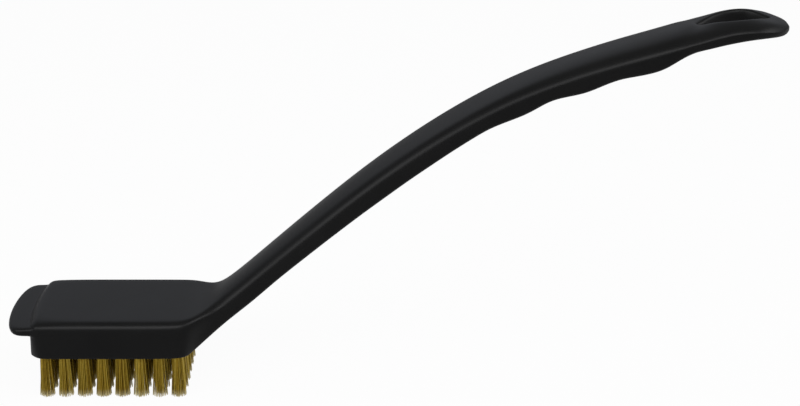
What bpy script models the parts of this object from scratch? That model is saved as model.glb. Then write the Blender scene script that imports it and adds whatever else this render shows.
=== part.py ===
"""Grill brush: a one-piece moulded handle and block, and 48 brass wire tufts with their staples.

Metres, +Z up. The origin is the middle of the floor that the bristle tips stand on. +X runs from the
scraper lip to the hanging eye, and the front of the brush faces -Y.
"""

import math

import bmesh
import bpy
from mathutils import Vector
from mathutils.geometry import tessellate_polygon

# Bristles and the holes that they are set in
TUFT_COLUMNS = 8
TUFT_ROWS = 6
FRONT_INSET = 0.0056
HEEL_INSET = 0.0051
SIDE_INSET = 0.00545
BRISTLE_LENGTH = 0.01535
TUFT_GAP = 0.0013
HOLE_RADIUS = 0.0019
HOLE_DEPTH = 0.0085
HOLE_SIDES = 8
CLEARANCE = 0.0003
OUTER_STRANDS = 7
STRAND_SIDES = 3
STRAND_RADIUS = 0.0005
STRAND_TIP_RADIUS = 0.00042
STRAND_MARGIN = 0.00003
BUNDLE_HEIGHT = 0.0042
FOLD_THICKNESS = 0.0012
STAPLE_THICKNESS = 0.0004
STAPLE_HEIGHT = 0.0014
OVERRUN = 0.001
SAME_PLACE = 0.000002

# Block that carries the bristles
BLOCK_LENGTH = 0.0569
BLOCK_WIDTH = 0.0439
BLOCK_HEIGHT = 0.01365
BLOCK_DRAFT = 0.0005
BLOCK_CORNER = 0.0054
WALL_BOW = 0.002
WALL_FOOT_BOW = 0.0004
WALL_LEAN = 0.0004
BLOCK_TOP_EDGE = 0.0018
BLOCK_BOTTOM_EDGE = 0.0003

# Scraper lip moulded on the front end of the block
LIP_REACH = 0.0085
LIP_WIDTH = 0.0406
LIP_THICKNESS = 0.0031
LIP_DROP = 0.0022
LIP_CORNER = 0.0046
LIP_BOW = 0.002
LIP_ROOT = 0.00045

# Handle
HANDLE_REACH = 0.2037
NECK_WIDTH = 0.0216
GRIP_THICKNESS = 0.0080
HANDLE_EDGE = 0.0019
HANDLE_FOOT_EDGE = 0.0013
HANDLE_CROWN = 0.0021
HEEL_SLOPE = math.radians(38.4)
SHOULDER_LENGTH = 0.023
SHOULDER_LEAD = 0.0064

# Hanging eye at the end of the handle
END_WIDTH = 0.0265
END_THICKNESS = 0.0061
TIP_THICKNESS = 0.0037
END_EDGE = 0.0018
END_FOOT_EDGE = 0.0012
EYE_LENGTH = 0.024
EYE_LEAD = 0.004
EYE_WIDTH = 0.0128
EYE_RIM = 0.001
EYE_DIP = 0.0008
EYE_CREST = 0.001
EYE_TO_TIP = 0.0066

# Places that follow from the sizes above
OVERALL = LIP_REACH + BLOCK_LENGTH + HANDLE_REACH
WALL_X = -OVERALL / 2 + LIP_REACH
HEEL_X = WALL_X + BLOCK_LENGTH
TIP_X = OVERALL / 2
EYE_END_X = TIP_X - EYE_TO_TIP
EYE_START_X = EYE_END_X - EYE_LENGTH
UNDERSIDE_Z = BRISTLE_LENGTH
BLOCK_TOP_Z = UNDERSIDE_Z + BLOCK_HEIGHT
LIP_TOP_Z = BLOCK_TOP_Z - LIP_DROP
LIP_LOW_Z = LIP_TOP_Z - LIP_THICKNESS
COLUMN_PITCH = (BLOCK_LENGTH - FRONT_INSET - HEEL_INSET) / (TUFT_COLUMNS - 1)
ROW_PITCH = (BLOCK_WIDTH - SIDE_INSET * 2) / (TUFT_ROWS - 1)

# Half length and half width of the fold over a staple, as shares of the bundle's reach
FOLD_SHARES = (0.78, 0.60)

# A round edge needs its upper face held flat this share of the edge away from it. A crowned top
# sinks at its edges by a share of the crown
HOLD_SHARE = 2.41
CROWN_SINK_SHARE = 0.18

# Columns and levels of an end wall, from the front side to the rear one and from its top down
COLUMN_SHARES = (-1.0, -0.5, 0.0, 0.5, 1.0)
LEVEL_SHARES = (0.0, 0.5, 1.0)

# Where the block's plan corners start on the front wall and end on the sides, as shares of
# BLOCK_CORNER: at the block's sides, at its top and at its foot
CORNER_SIDE_SHARES = (0.38, 0.35)
CORNER_TOP_SHARES = (0.55, 0.35)
CORNER_FOOT_SHARES = (0.80, 0.57)

# Scraper lip: its root on the block's corner and its own corner, as shares of LIP_CORNER, where the
# front edge's bow is drawn, and how far the upper and lower faces are held in from the edge
LIP_END_SHARES = (-0.03, 0.01)
LIP_CORNER_SHARES = (0.64, -0.30)
LIP_BOW_SHARE = 0.25
LIP_ROOT_SHARE = 0.42
LIP_SIDE_SHARE = 0.92
LIP_ROUND_SHARE = 0.08

# Shoulder, as shares of its length: where a section stands, its slope in degrees, the shares of the
# way from the block's width to the neck's at its top and at its foot, and how far its foot lies along
# the heel's slope
SHOULDER_SHARES = (
    (0.00, 0.0, 0.00, 0.00, None),
    (0.20, 2.5, 0.05, 0.12, None),
    (0.38, 12.5, 0.34, 0.55, 0.0),
    (0.55, 26.0, 0.72, 0.88, 0.458),
    (0.73, 38.2, 0.95, 0.99, 0.786),
    (1.00, 41.5, 1.00, 1.00, 1.152),
)

# Handle from the shoulder to the eye: share of that run, slope in degrees, thickness as a share of
# the grip's, the share of the way from the neck's width to the end's, and the crown as a share
GRIP_SHARES = (
    (0.05, 41.2, 0.97, 0.00, 0.55),
    (0.10, 41.0, 0.985, 0.14, 0.56),
    (0.155, 40.6, 1.00, 0.28, 0.56),
    (0.21, 40.0, 1.02, 0.38, 0.55),
    (0.26, 39.0, 1.035, 0.48, 0.54),
    (0.31, 37.5, 1.05, 0.57, 0.52),
    (0.36, 35.9, 1.03, 0.65, 0.49),
    (0.41, 34.4, 1.025, 0.70, 0.45),
    (0.455, 32.8, 0.99, 0.72, 0.43),
    (0.50, 31.1, 0.965, 0.73, 0.42),
    (0.54, 29.5, 0.925, 0.74, 0.44),
    (0.58, 27.6, 1.01, 0.74, 0.48),
    (0.63, 24.6, 1.10, 0.75, 0.55),
    (0.68, 21.8, 0.905, 0.76, 0.63),
    (0.72, 20.2, 1.02, 0.78, 0.70),
    (0.76, 19.0, 1.13, 0.82, 0.76),
    (0.80, 18.0, 1.03, 0.86, 0.82),
    (0.84, 17.0, 0.97, 0.90, 0.87),
    (0.88, 15.8, 1.08, 0.94, 0.92),
    (0.93, 16.0, 1.12, 0.98, 0.96),
    (0.965, 16.6, 0.87, 1.00, 1.00),
    (1.00, 17.3, 0.715, 1.00, 1.00),
)
NECK_CROWN_SHARE = 0.55

# Sections round the eye, as shares of its length: place, slope in degrees, and the eye's half width
# and the crown as shares; the first and the last are the eye's two ends
EYE_SHARES = (
    (0.00, 16.0, 0.00, 1.00),
    (0.20, 15.0, 0.52, 1.00),
    (0.40, 11.5, 0.90, 1.00),
    (0.60, 4.5, 1.00, 1.00),
    (0.80, -3.8, 0.76, 0.88),
    (1.00, -8.0, 0.00, 0.72),
)

# How far apart the columns stand at the eye's two ends, how far out the crest stands beside them, and
# where the end starts to thin out
EYE_END_SPREAD_SHARE = 0.12
EYE_CREST_SHARE = 0.86
THINNING_SHARE = 0.5

# Rings of the eye's wall: how deep they lie, and how far they stand in from its rims
EYE_WALL_SHARES = ((0.14, 0.65), (0.78, 1.00))
TIP_SLOPE = -22.0

# The last section before the tip: how far back it stands, and how thick and how crowned it is. The
# tip's own width is taken a little before it, and its levels are measured from that section's top
TIP_PLACE_SHARE = 0.45
TIP_THICKNESS_SHARE = 1.1
TIP_WIDTH_SHARE = 0.06
TIP_CROWN_SHARE = 0.5
TIP_LEVEL_SHARES = (0.36, 0.60, 0.82)


def remove_scene_objects():
    for item in list(bpy.data.objects):
        bpy.data.objects.remove(item, do_unlink=True)


def material(name, colour, roughness, metallic):
    made = bpy.data.materials.new(name)
    made.use_nodes = True
    shader = made.node_tree.nodes["Principled BSDF"]
    shader.inputs["Base Color"].default_value = (*colour, 1.0)
    shader.inputs["Roughness"].default_value = roughness
    shader.inputs["Metallic"].default_value = metallic
    return made


def add_object(name, mesh, finish=None):
    item = bpy.data.objects.new(name, mesh)
    bpy.context.scene.collection.objects.link(item)
    if finish is not None and not mesh.materials:
        mesh.materials.append(finish)
    return item


def hide_as_cutter(item):
    item.hide_render = True
    item.display_type = "WIRE"


def mesh_of(work, name):
    bmesh.ops.recalc_face_normals(work, faces=work.faces)
    mesh = bpy.data.meshes.new(name)
    work.to_mesh(mesh)
    work.free()
    return mesh


def rise(run, slope, next_slope):
    """Height gained along a run whose slope goes evenly from one angle in degrees to the next."""
    return run * (math.tan(math.radians(slope)) + math.tan(math.radians(next_slope))) / 2


def section(top, foot, half, edge, foot_edge, draft=0.0, column=None, crown=0.0):
    """Sixteen points round one section: five along the top, three down the rear side, five back along
    the underside and three up the front side. top and foot are its two middle points, column is where
    the points beside them stand, and crown is how far the middle of the top rises over its edges."""
    down = (foot - top).normalized()
    low = half - draft
    brow = top + down * crown * CROWN_SINK_SHARE
    upper_column = column or half - edge * HOLD_SHARE
    lower_column = column or low / 2

    def at(point, y):
        return Vector((point.x, y, point.z))

    rear = [
        at(brow + down * edge, half),
        at((top + foot) / 2, (half + low) / 2),
        at(foot - down * foot_edge, low),
    ]
    upper = [at(brow, edge - half)]
    for y in (-upper_column, 0.0, upper_column):
        upper.append(at(brow - down * crown * (1 - (y / half) ** 2), y))
    upper.append(at(brow, half - edge))
    lower = [at(foot, y) for y in (low - foot_edge, lower_column, 0.0, -lower_column, foot_edge - low)]
    front = [at(point, -point.y) for point in reversed(rear)]
    return upper + rear + lower + front


def wall_x(y, depth_share=0.0):
    """The block's front wall bows out in the middle, most at its top, and leans back to its foot."""
    bow = WALL_BOW + (WALL_FOOT_BOW - WALL_BOW) * depth_share
    return WALL_X + bow * (y / (BLOCK_WIDTH / 2)) ** 2 + WALL_LEAN * depth_share


def block_sections():
    """The block's sections behind its front wall. The first stands on the wall where its plan corners
    start, and the second on its sides where they end."""
    half = BLOCK_WIDTH / 2
    hold = BLOCK_TOP_EDGE * HOLD_SHARE
    found = []
    for x in (WALL_X, WALL_X + hold, WALL_X + WALL_BOW + BLOCK_CORNER, WALL_X + BLOCK_LENGTH / 2):
        top = Vector((x, 0.0, BLOCK_TOP_Z))
        foot = Vector((x, 0.0, UNDERSIDE_Z))
        points = section(top, foot, half, BLOCK_TOP_EDGE, BLOCK_BOTTOM_EDGE, BLOCK_DRAFT)
        for slot in (6, 14):
            points[slot].z = LIP_LOW_Z - LIP_ROOT
        found.append(points)
    first, second = found[:2]
    for points, back in ((first, BLOCK_TOP_EDGE), (second, hold)):
        for slot in (1, 2, 3):
            points[slot].y = (slot - 2) * (half - BLOCK_CORNER) / 2
            points[slot].x = wall_x(points[slot].y) + back
    for slot in (9, 10, 11):
        first[slot].y = (10 - slot) * (half - BLOCK_CORNER) / 2
        first[slot].x = wall_x(first[slot].y, 1.0) + BLOCK_BOTTOM_EDGE
    for slots, depth_share, shares, back in (
        ((0, 4), 0.0, CORNER_TOP_SHARES, BLOCK_TOP_EDGE),
        ((5, 15), 0.0, CORNER_SIDE_SHARES, 0.0),
        ((6, 14), 0.5, CORNER_SIDE_SHARES, 0.0),
        ((7, 13), 1.0, CORNER_FOOT_SHARES, 0.0),
        ((8, 12), 1.0, CORNER_FOOT_SHARES, BLOCK_BOTTOM_EDGE),
    ):
        across, along = (BLOCK_CORNER * share for share in shares)
        for slot in slots:
            side = math.copysign(half, first[slot].y)
            first[slot].y = math.copysign(half - across, first[slot].y)
            first[slot].x = wall_x(first[slot].y, depth_share) + back
            second[slot].x = wall_x(side, depth_share) + along
    return found


def shoulder_sections():
    """From the block's full width down to the neck, with the heel under it. Returns the last top too."""
    start = HEEL_X - SHOULDER_LEAD
    block_half, neck_half = BLOCK_WIDTH / 2, NECK_WIDTH / 2
    found = []
    top = Vector((start, 0.0, BLOCK_TOP_Z))
    last_slope = 0.0
    for along, slope, narrowing, foot_narrowing, foot_share in SHOULDER_SHARES:
        x = start + SHOULDER_LENGTH * along
        top = Vector((x, 0.0, top.z + rise(x - top.x, last_slope, slope)))
        last_slope = slope
        if foot_share is None:
            foot = Vector((x, 0.0, UNDERSIDE_Z))
        else:
            run = SHOULDER_LENGTH * foot_share
            along_heel = Vector((math.cos(HEEL_SLOPE), 0.0, math.sin(HEEL_SLOPE)))
            foot = Vector((HEEL_X, 0.0, UNDERSIDE_Z)) + along_heel * run
        half = block_half + (neck_half - block_half) * narrowing
        edge = BLOCK_TOP_EDGE + (HANDLE_EDGE - BLOCK_TOP_EDGE) * narrowing
        foot_edge = BLOCK_BOTTOM_EDGE + (HANDLE_FOOT_EDGE - BLOCK_BOTTOM_EDGE) * narrowing
        low_half = block_half - BLOCK_DRAFT
        low_half += (neck_half - low_half) * foot_narrowing
        crown = HANDLE_CROWN * NECK_CROWN_SHARE * narrowing**2
        found.append(section(top, foot, half, edge, foot_edge, half - low_half, crown=crown))
    return found, top, last_slope


def below(top, slope, thickness):
    angle = math.radians(slope)
    return top + Vector((math.sin(angle), 0.0, -math.cos(angle))) * thickness


def grip_sections(top, last_slope):
    """Along the neck and the finger grip to the start of the eye."""
    start_x = top.x
    run = EYE_START_X - EYE_LEAD - start_x
    found = []
    for along, slope, thickness_share, widening, crown_share in GRIP_SHARES:
        x = start_x + run * along
        top = Vector((x, 0.0, top.z + rise(x - top.x, last_slope, slope)))
        last_slope = slope
        half = (NECK_WIDTH + (END_WIDTH - NECK_WIDTH) * widening) / 2
        foot = below(top, slope, GRIP_THICKNESS * thickness_share)
        crown = HANDLE_CROWN * crown_share
        found.append(section(top, foot, half, HANDLE_EDGE, HANDLE_FOOT_EDGE, crown=crown))
    return found, top, last_slope


def end_half_width(x):
    """Half the width of the round end, which is a half circle in plan."""
    radius = END_WIDTH / 2
    past = max(0.0, x - (TIP_X - radius))
    return math.sqrt(max(0.0, radius**2 - past**2))


def eye_sections(top, last_slope):
    """Round the eye, where the middle columns stand on the rim, and on to the round tip."""
    found = []
    for along, slope, opening, crown_share in EYE_SHARES:
        x = EYE_START_X + EYE_LENGTH * along
        top = Vector((x, 0.0, top.z + rise(x - top.x, last_slope, slope)))
        last_slope = slope
        thickness = END_THICKNESS + (TIP_THICKNESS - END_THICKNESS) * max(0.0, along - THINNING_SHARE)
        foot = below(top, slope, thickness)
        half = end_half_width(x)
        rim = opening * EYE_WIDTH / 2 + EYE_RIM
        crown = HANDLE_CROWN * crown_share
        points = section(top, foot, half, END_EDGE, END_FOOT_EDGE, column=rim, crown=crown)
        if opening == 0.0:
            inward = 1 if along == 0.0 else -1
            for slot in (1, 3, 9, 11):
                points[slot].y = math.copysign(EYE_WIDTH * EYE_END_SPREAD_SHARE, points[slot].y)
                points[slot].x += inward * EYE_RIM
            for slot in (2, 10):
                points[slot].x -= inward * EYE_RIM
            for slot in (1, 2, 3):
                points[slot].z -= EYE_DIP
            for slot in (0, 4):
                points[slot].y *= EYE_CREST_SHARE
                points[slot].z += EYE_CREST
        found.append(points)
    x = TIP_X - EYE_TO_TIP * TIP_PLACE_SHARE
    top = Vector((x, 0.0, top.z + rise(x - top.x, last_slope, TIP_SLOPE)))
    foot = Vector((x, 0.0, top.z - TIP_THICKNESS * TIP_THICKNESS_SHARE))
    half, crown = end_half_width(x), HANDLE_CROWN * TIP_CROWN_SHARE
    found.append(section(top, foot, half, END_EDGE, END_FOOT_EDGE, column=half / 2, crown=crown))
    return found


def skin(work, rings):
    """Verts for every section, and quads from each to the next."""
    verts = [[work.verts.new(point) for point in ring] for ring in rings]
    count = len(rings[0])
    for near, far in zip(verts, verts[1:]):
        for k in range(count):
            j = (k + 1) % count
            work.faces.new((near[k], far[k], far[j], near[j]))
    return verts


def close_end(work, ring, half, levels, end_x):
    """An end of five columns and three levels beyond a section. end_x gives a place from y and depth."""
    wall = []
    for column_share in COLUMN_SHARES:
        y = half * column_share
        column = [(end_x(y, share), y, z) for share, z in zip(LEVEL_SHARES, levels)]
        wall.append([work.verts.new(place) for place in column])
    for c in range(4):
        for r in range(2):
            work.faces.new((wall[c][r], wall[c + 1][r], wall[c + 1][r + 1], wall[c][r + 1]))
        work.faces.new((ring[c], ring[c + 1], wall[c + 1][0], wall[c][0]))
        work.faces.new((wall[c][2], wall[c + 1][2], ring[11 - c], ring[12 - c]))
    for r in range(2):
        work.faces.new((wall[4][r], ring[5 + r], ring[6 + r], wall[4][r + 1]))
        work.faces.new((ring[15 - r], wall[0][r], wall[0][r + 1], ring[14 - r]))
    work.faces.new((ring[4], ring[5], wall[4][0]))
    work.faces.new((ring[15], ring[0], wall[0][0]))
    work.faces.new((ring[7], ring[8], wall[4][2]))
    work.faces.new((ring[12], ring[13], wall[0][2]))
    return wall


def face_between(verts):
    """The face that has just these verts."""
    wanted = set(verts)
    return next(face for face in verts[0].link_faces if set(face.verts) == wanted)


def lip_outlines():
    """Plan points from the lip's front side to its rear: round its root, held in from its edge, and
    along its edge."""
    half = LIP_WIDTH / 2
    tip = WALL_X - LIP_REACH
    along_share, across_share = LIP_CORNER_SHARES
    end_along_share, end_across_share = LIP_END_SHARES
    end_y = half + LIP_CORNER * end_across_share
    edge = [
        (wall_x(end_y) + LIP_CORNER * end_along_share, -end_y),
        (tip + LIP_CORNER * along_share, -half + LIP_CORNER * across_share),
        (tip + LIP_BOW * LIP_BOW_SHARE, -half / 2),
        (tip, 0.0),
    ]
    edge += [(x, -y) for x, y in reversed(edge[:-1])]
    held = [(x + (WALL_X - x) * LIP_ROOT_SHARE, y * LIP_SIDE_SHARE) for x, y in edge]
    columns = [(half - BLOCK_CORNER) * share for share in COLUMN_SHARES]
    root = [held[0], *((wall_x(y) - LIP_ROOT, y) for y in columns), held[-1]]
    return root, held, edge


def add_lip(work, rings, wall):
    """The scraper lip grows out of the upper band of the wall and ends on the block's plan corners."""
    end, start = rings[1], rings[0]
    top_path = [end[15], start[15], *(column[0] for column in wall), start[5], end[5]]
    low_path = [end[14], start[14], *(column[1] for column in wall), start[6], end[6]]
    pairs = zip(top_path, top_path[1:], low_path[1:], low_path)
    taken = [face_between(corners) for corners in pairs]
    bmesh.ops.delete(work, geom=taken, context="FACES")
    root, held, edge = lip_outlines()
    rounding = LIP_THICKNESS * LIP_ROUND_SHARE
    layers = [top_path[1:-1]]
    for path, z in (
        (root, LIP_TOP_Z),
        (held, LIP_TOP_Z),
        (edge, LIP_TOP_Z - rounding),
        (edge, LIP_LOW_Z + rounding),
        (held, LIP_LOW_Z),
        (root, LIP_LOW_Z),
    ):
        layers.append([work.verts.new((x, y, z)) for x, y in path])
    layers.append(low_path[1:-1])
    for upper, lower in zip(layers, layers[1:]):
        for a, b, c, d in zip(upper, upper[1:], lower[1:], lower):
            work.faces.new((a, b, c, d))
    for side in (0, -1):
        start_top, start_low = top_path[side], low_path[side]
        fan = [layer[side] for layer in layers]
        for a, b in ((0, 1), (2, 3)):
            work.faces.new((start_top, fan[a], fan[b]))
        work.faces.new((start_top, fan[3], fan[4], start_low))
        for a, b in ((4, 5), (6, 7)):
            work.faces.new((start_low, fan[a], fan[b]))
    bmesh.ops.remove_doubles(work, verts=work.verts, dist=SAME_PLACE)


def open_eye(work, rings):
    """Takes the faces between the rims away and joins the upper rim to the lower one by a wall."""
    taken = []
    for near, far in zip(rings, rings[1:]):
        for k in (1, 2, 9, 10):
            taken.append(face_between((near[k], far[k], far[k + 1], near[k + 1])))
    bmesh.ops.delete(work, geom=taken, context="FACES")

    def loop(front, middle, rear):
        ends = [rings[0][middle]], [rings[-1][middle]]
        there = [ring[front] for ring in rings]
        back = [ring[rear] for ring in reversed(rings)]
        return there + ends[1] + back + ends[0]

    upper, lower = loop(1, 2, 3), loop(11, 10, 9)
    centre = sum((vert.co for vert in upper), Vector()) / len(upper)
    walls = []
    for depth_share, inward_share in EYE_WALL_SHARES:
        ring = []
        for high, low in zip(upper, lower):
            place = high.co.lerp(low.co, depth_share)
            outward = Vector((high.co.x - centre.x, high.co.y, 0.0)).normalized()
            ring.append(work.verts.new(place - outward * EYE_RIM * inward_share))
        walls.append(ring)
    layers = [upper, *walls, lower]
    for near, far in zip(layers, layers[1:]):
        for k in range(len(near)):
            j = (k + 1) % len(near)
            work.faces.new((near[k], far[k], far[j], near[j]))


def handle_cage():
    """The control cage of the whole moulding, which Subdivision Surface rounds."""
    block = block_sections()
    shoulder, top, slope = shoulder_sections()
    grip, top, slope = grip_sections(top, slope)
    eye = eye_sections(top, slope)
    work = bmesh.new()
    rings = skin(work, block + shoulder + grip + eye)
    levels = (BLOCK_TOP_Z - BLOCK_TOP_EDGE, LIP_LOW_Z - LIP_ROOT, UNDERSIDE_Z + BLOCK_BOTTOM_EDGE)
    wall = close_end(work, rings[0], BLOCK_WIDTH / 2 - BLOCK_CORNER, levels, wall_x)
    last = eye[-1]
    tip_top, tip_foot = last[2].z, last[10].z
    levels = [tip_top + (tip_foot - tip_top) * share for share in TIP_LEVEL_SHARES]
    tip_half = end_half_width(TIP_X - EYE_TO_TIP * TIP_WIDTH_SHARE)
    close_end(work, rings[-1], tip_half, levels, lambda _y, _share: TIP_X)
    open_eye(work, rings[-7:-1])
    add_lip(work, rings, wall)
    return mesh_of(work, "handle_cage")


def tuft_places():
    """Row and column numbers with the middle of each tuft's hole. Row 1 is the front one."""
    first_x = WALL_X + FRONT_INSET
    first_y = SIDE_INSET - BLOCK_WIDTH / 2
    for row in range(TUFT_ROWS):
        for column in range(TUFT_COLUMNS):
            place = Vector((first_x + COLUMN_PITCH * column, first_y + ROW_PITCH * row, 0.0))
            yield row + 1, column + 1, place


def circle(count, radius, z, centre=(0.0, 0.0), turn=0.0):
    angles = [turn + math.tau * k / count for k in range(count)]
    return [Vector((centre[0] + radius * math.cos(a), centre[1] + radius * math.sin(a), z)) for a in angles]


def prism(work, low, high):
    """A closed solid between two outlines with as many points each."""
    a = [work.verts.new(point) for point in low]
    b = [work.verts.new(point) for point in high]
    count = len(a)
    work.faces.new(list(reversed(a)))
    work.faces.new(b)
    for k in range(count):
        j = (k + 1) % count
        work.faces.new((a[k], a[j], b[j], b[k]))


def hole_outline(radius, z):
    return circle(HOLE_SIDES, radius, z, turn=math.pi / HOLE_SIDES)


def hole_cutter():
    work = bmesh.new()
    for _row, _column, place in tuft_places():
        low = [point + place for point in hole_outline(HOLE_RADIUS, UNDERSIDE_Z - OVERRUN)]
        high = [point + place for point in hole_outline(HOLE_RADIUS, UNDERSIDE_Z + HOLE_DEPTH)]
        prism(work, low, high)
    return mesh_of(work, "tuft_holes")


def bundle_reach():
    """From the middle of a tuft to the nearest side of its bundle."""
    return (HOLE_RADIUS - CLEARANCE) * math.cos(math.pi / HOLE_SIDES)


def strand_circles():
    """Radii of the circles that the outer strands stand on, at the hole and at the tips."""
    half_face = math.pi / STRAND_SIDES
    reach = bundle_reach() - STRAND_MARGIN
    corner = STRAND_RADIUS * math.sin(half_face)
    root = math.sqrt(reach**2 - corner**2) - STRAND_RADIUS * math.cos(half_face)
    tip = (min(COLUMN_PITCH, ROW_PITCH) - TUFT_GAP) / 2 - STRAND_TIP_RADIUS
    return root, tip


def strand_outlines(root_z):
    """Roots and tips of the strands: one in the middle and a ring of others with a face outwards."""
    root_circle, tip_circle = strand_circles()
    roots = [circle(STRAND_SIDES, STRAND_RADIUS, root_z)]
    tips = [circle(STRAND_SIDES, STRAND_TIP_RADIUS, 0.0)]
    for k in range(OUTER_STRANDS):
        angle = math.tau * k / OUTER_STRANDS
        turn = angle + math.pi / STRAND_SIDES
        x, y = math.cos(angle), math.sin(angle)
        root_place = (x * root_circle, y * root_circle)
        tip_place = (x * tip_circle, y * tip_circle)
        roots.append(circle(STRAND_SIDES, STRAND_RADIUS, root_z, root_place, turn))
        tips.append(circle(STRAND_SIDES, STRAND_TIP_RADIUS, 0.0, tip_place, turn))
    return roots, tips


def bundle_mesh():
    """The wires where they stand in the mouth of the hole, with the free strands under them, which are
    cut level at the floor."""
    work = bmesh.new()
    root_z = UNDERSIDE_Z + CLEARANCE
    radius = HOLE_RADIUS - CLEARANCE
    roots, tips = strand_outlines(root_z)
    loops = [hole_outline(radius, root_z), *roots]
    verts = [work.verts.new(point) for loop in loops for point in loop]
    for triangle in tessellate_polygon(loops):
        work.faces.new([verts[index] for index in triangle])
    rim = verts[:HOLE_SIDES]
    top = [work.verts.new(point) for point in hole_outline(radius, UNDERSIDE_Z + BUNDLE_HEIGHT)]
    work.faces.new(top)
    for k in range(HOLE_SIDES):
        j = (k + 1) % HOLE_SIDES
        work.faces.new((rim[k], rim[j], top[j], top[k]))
    for number, tip in enumerate(tips):
        root = verts[HOLE_SIDES + STRAND_SIDES * number:][:STRAND_SIDES]
        end = [work.verts.new(point) for point in tip]
        work.faces.new(end)
        for k in range(STRAND_SIDES):
            j = (k + 1) % STRAND_SIDES
            work.faces.new((root[k], root[j], end[j], end[k]))
    return mesh_of(work, "bundle")


def fold_mesh():
    """The wires where they turn back over the staple, with the bend's corners cut off."""
    half, depth = (bundle_reach() * share for share in FOLD_SHARES)
    top = UNDERSIDE_Z + HOLE_DEPTH - CLEARANCE
    bend = top - FOLD_THICKNESS
    low = UNDERSIDE_Z + BUNDLE_HEIGHT - OVERRUN
    outline = [(-half, low), (half, low), (half, bend), (half / 2, top), (-half / 2, top), (-half, bend)]
    work = bmesh.new()
    prism(work, [Vector((x, -depth, z)) for x, z in outline], [Vector((x, depth, z)) for x, z in outline])
    return mesh_of(work, "fold")


def staple_mesh():
    """The flat wire staple, which crosses the hole inside the bend and stops short of its wall."""
    reach = HOLE_RADIUS * math.cos(math.pi / HOLE_SIDES) - CLEARANCE
    half = STAPLE_THICKNESS / 2
    top = UNDERSIDE_Z + HOLE_DEPTH - CLEARANCE - FOLD_THICKNESS
    low = top - STAPLE_HEIGHT
    corners = [(-half, -reach), (half, -reach), (half, reach), (-half, reach)]
    work = bmesh.new()
    prism(work, [Vector((x, y, low)) for x, y in corners], [Vector((x, y, top)) for x, y in corners])
    return mesh_of(work, "staple")


def tuft_mesh():
    """One tuft as it sits in its hole: bundle, fold and staple as one solid."""
    tuft = add_object("bundle", bundle_mesh())
    others = [add_object("fold", fold_mesh()), add_object("staple", staple_mesh())]
    for other in others:
        hide_as_cutter(other)
        join = tuft.modifiers.new(other.name, "BOOLEAN")
        join.operation = "UNION"
        join.solver = "EXACT"
        join.object = other
    graph = bpy.context.evaluated_depsgraph_get()
    joined = bpy.data.meshes.new_from_object(tuft.evaluated_get(graph))
    for item in (tuft, *others):
        bpy.data.objects.remove(item, do_unlink=True)
    return joined


def build_handle():
    plastic = material("black_plastic", (0.012, 0.012, 0.013), 0.48, 0.0)
    handle = add_object("handle", handle_cage(), plastic)
    handle.data.shade_smooth()
    rounding = handle.modifiers.new("rounding", "SUBSURF")
    rounding.levels = 1
    rounding.render_levels = 1
    flats = handle.modifiers.new("flats", "DECIMATE")
    flats.decimate_type = "DISSOLVE"
    flats.angle_limit = math.radians(0.05)
    cutter = add_object("tuft_hole_cutter", hole_cutter())
    hide_as_cutter(cutter)
    holes = handle.modifiers.new("holes", "BOOLEAN")
    holes.operation = "DIFFERENCE"
    holes.solver = "EXACT"
    holes.object = cutter


def build_tufts():
    brass = material("brass_wire", (0.45, 0.33, 0.09), 0.38, 1.0)
    joined = tuft_mesh()
    joined.materials.append(brass)
    for row, column, place in tuft_places():
        tuft = add_object(f"tuft_r{row}_c{column}", joined)
        tuft.location = place
        tuft.rotation_euler.z = math.pi * ((row + column) % 2)


remove_scene_objects()
build_handle()
build_tufts()
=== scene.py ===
"""Looks of the grill brush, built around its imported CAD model. Metres, +Z up, front towards -Y."""

import math
import random

import bmesh
import bpy
from mathutils import Matrix, Vector


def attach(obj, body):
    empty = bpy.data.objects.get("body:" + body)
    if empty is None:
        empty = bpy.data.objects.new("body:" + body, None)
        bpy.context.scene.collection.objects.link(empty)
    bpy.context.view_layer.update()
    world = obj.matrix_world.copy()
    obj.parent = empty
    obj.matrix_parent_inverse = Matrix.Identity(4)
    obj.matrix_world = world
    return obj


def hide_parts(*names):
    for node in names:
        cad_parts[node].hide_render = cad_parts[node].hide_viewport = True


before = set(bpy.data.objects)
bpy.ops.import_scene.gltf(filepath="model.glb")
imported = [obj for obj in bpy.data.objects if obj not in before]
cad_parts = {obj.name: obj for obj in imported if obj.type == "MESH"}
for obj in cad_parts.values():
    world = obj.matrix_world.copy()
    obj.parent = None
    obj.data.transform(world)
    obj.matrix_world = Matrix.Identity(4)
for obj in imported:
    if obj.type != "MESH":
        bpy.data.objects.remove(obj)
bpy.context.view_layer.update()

# The moulding. Handle, bristle block, scraper lip and hanging eye are one piece of black
# polypropylene, injection moulded with a fine matt grain. Its surface is a control cage, drawn
# section by section from the block's front wall to the tip and rounded by subdivision.

# Bristle block
UNDERSIDE_Z = 0.01535
BLOCK_LENGTH = 0.0569
BLOCK_WIDTH = 0.0439
BLOCK_HEIGHT = 0.01365
BLOCK_DRAFT = 0.0005
BLOCK_CORNER = 0.0054
WALL_BOW = 0.002
WALL_FOOT_BOW = 0.0004
WALL_LEAN = 0.0004
BLOCK_TOP_EDGE = 0.0018
BLOCK_BOTTOM_EDGE = 0.0003

# Scraper lip moulded on the front end of the block
LIP_REACH = 0.0085
LIP_WIDTH = 0.0406
LIP_THICKNESS = 0.0031
LIP_DROP = 0.0022
LIP_CORNER = 0.0046
LIP_BOW = 0.002
LIP_ROOT = 0.00045

# Handle
HANDLE_REACH = 0.2037
NECK_WIDTH = 0.0216
GRIP_THICKNESS = 0.0080
HANDLE_EDGE = 0.0019
HANDLE_FOOT_EDGE = 0.0013
HANDLE_CROWN = 0.0021
HEEL_SLOPE = math.radians(38.4)
SHOULDER_LENGTH = 0.023
SHOULDER_LEAD = 0.0064

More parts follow.
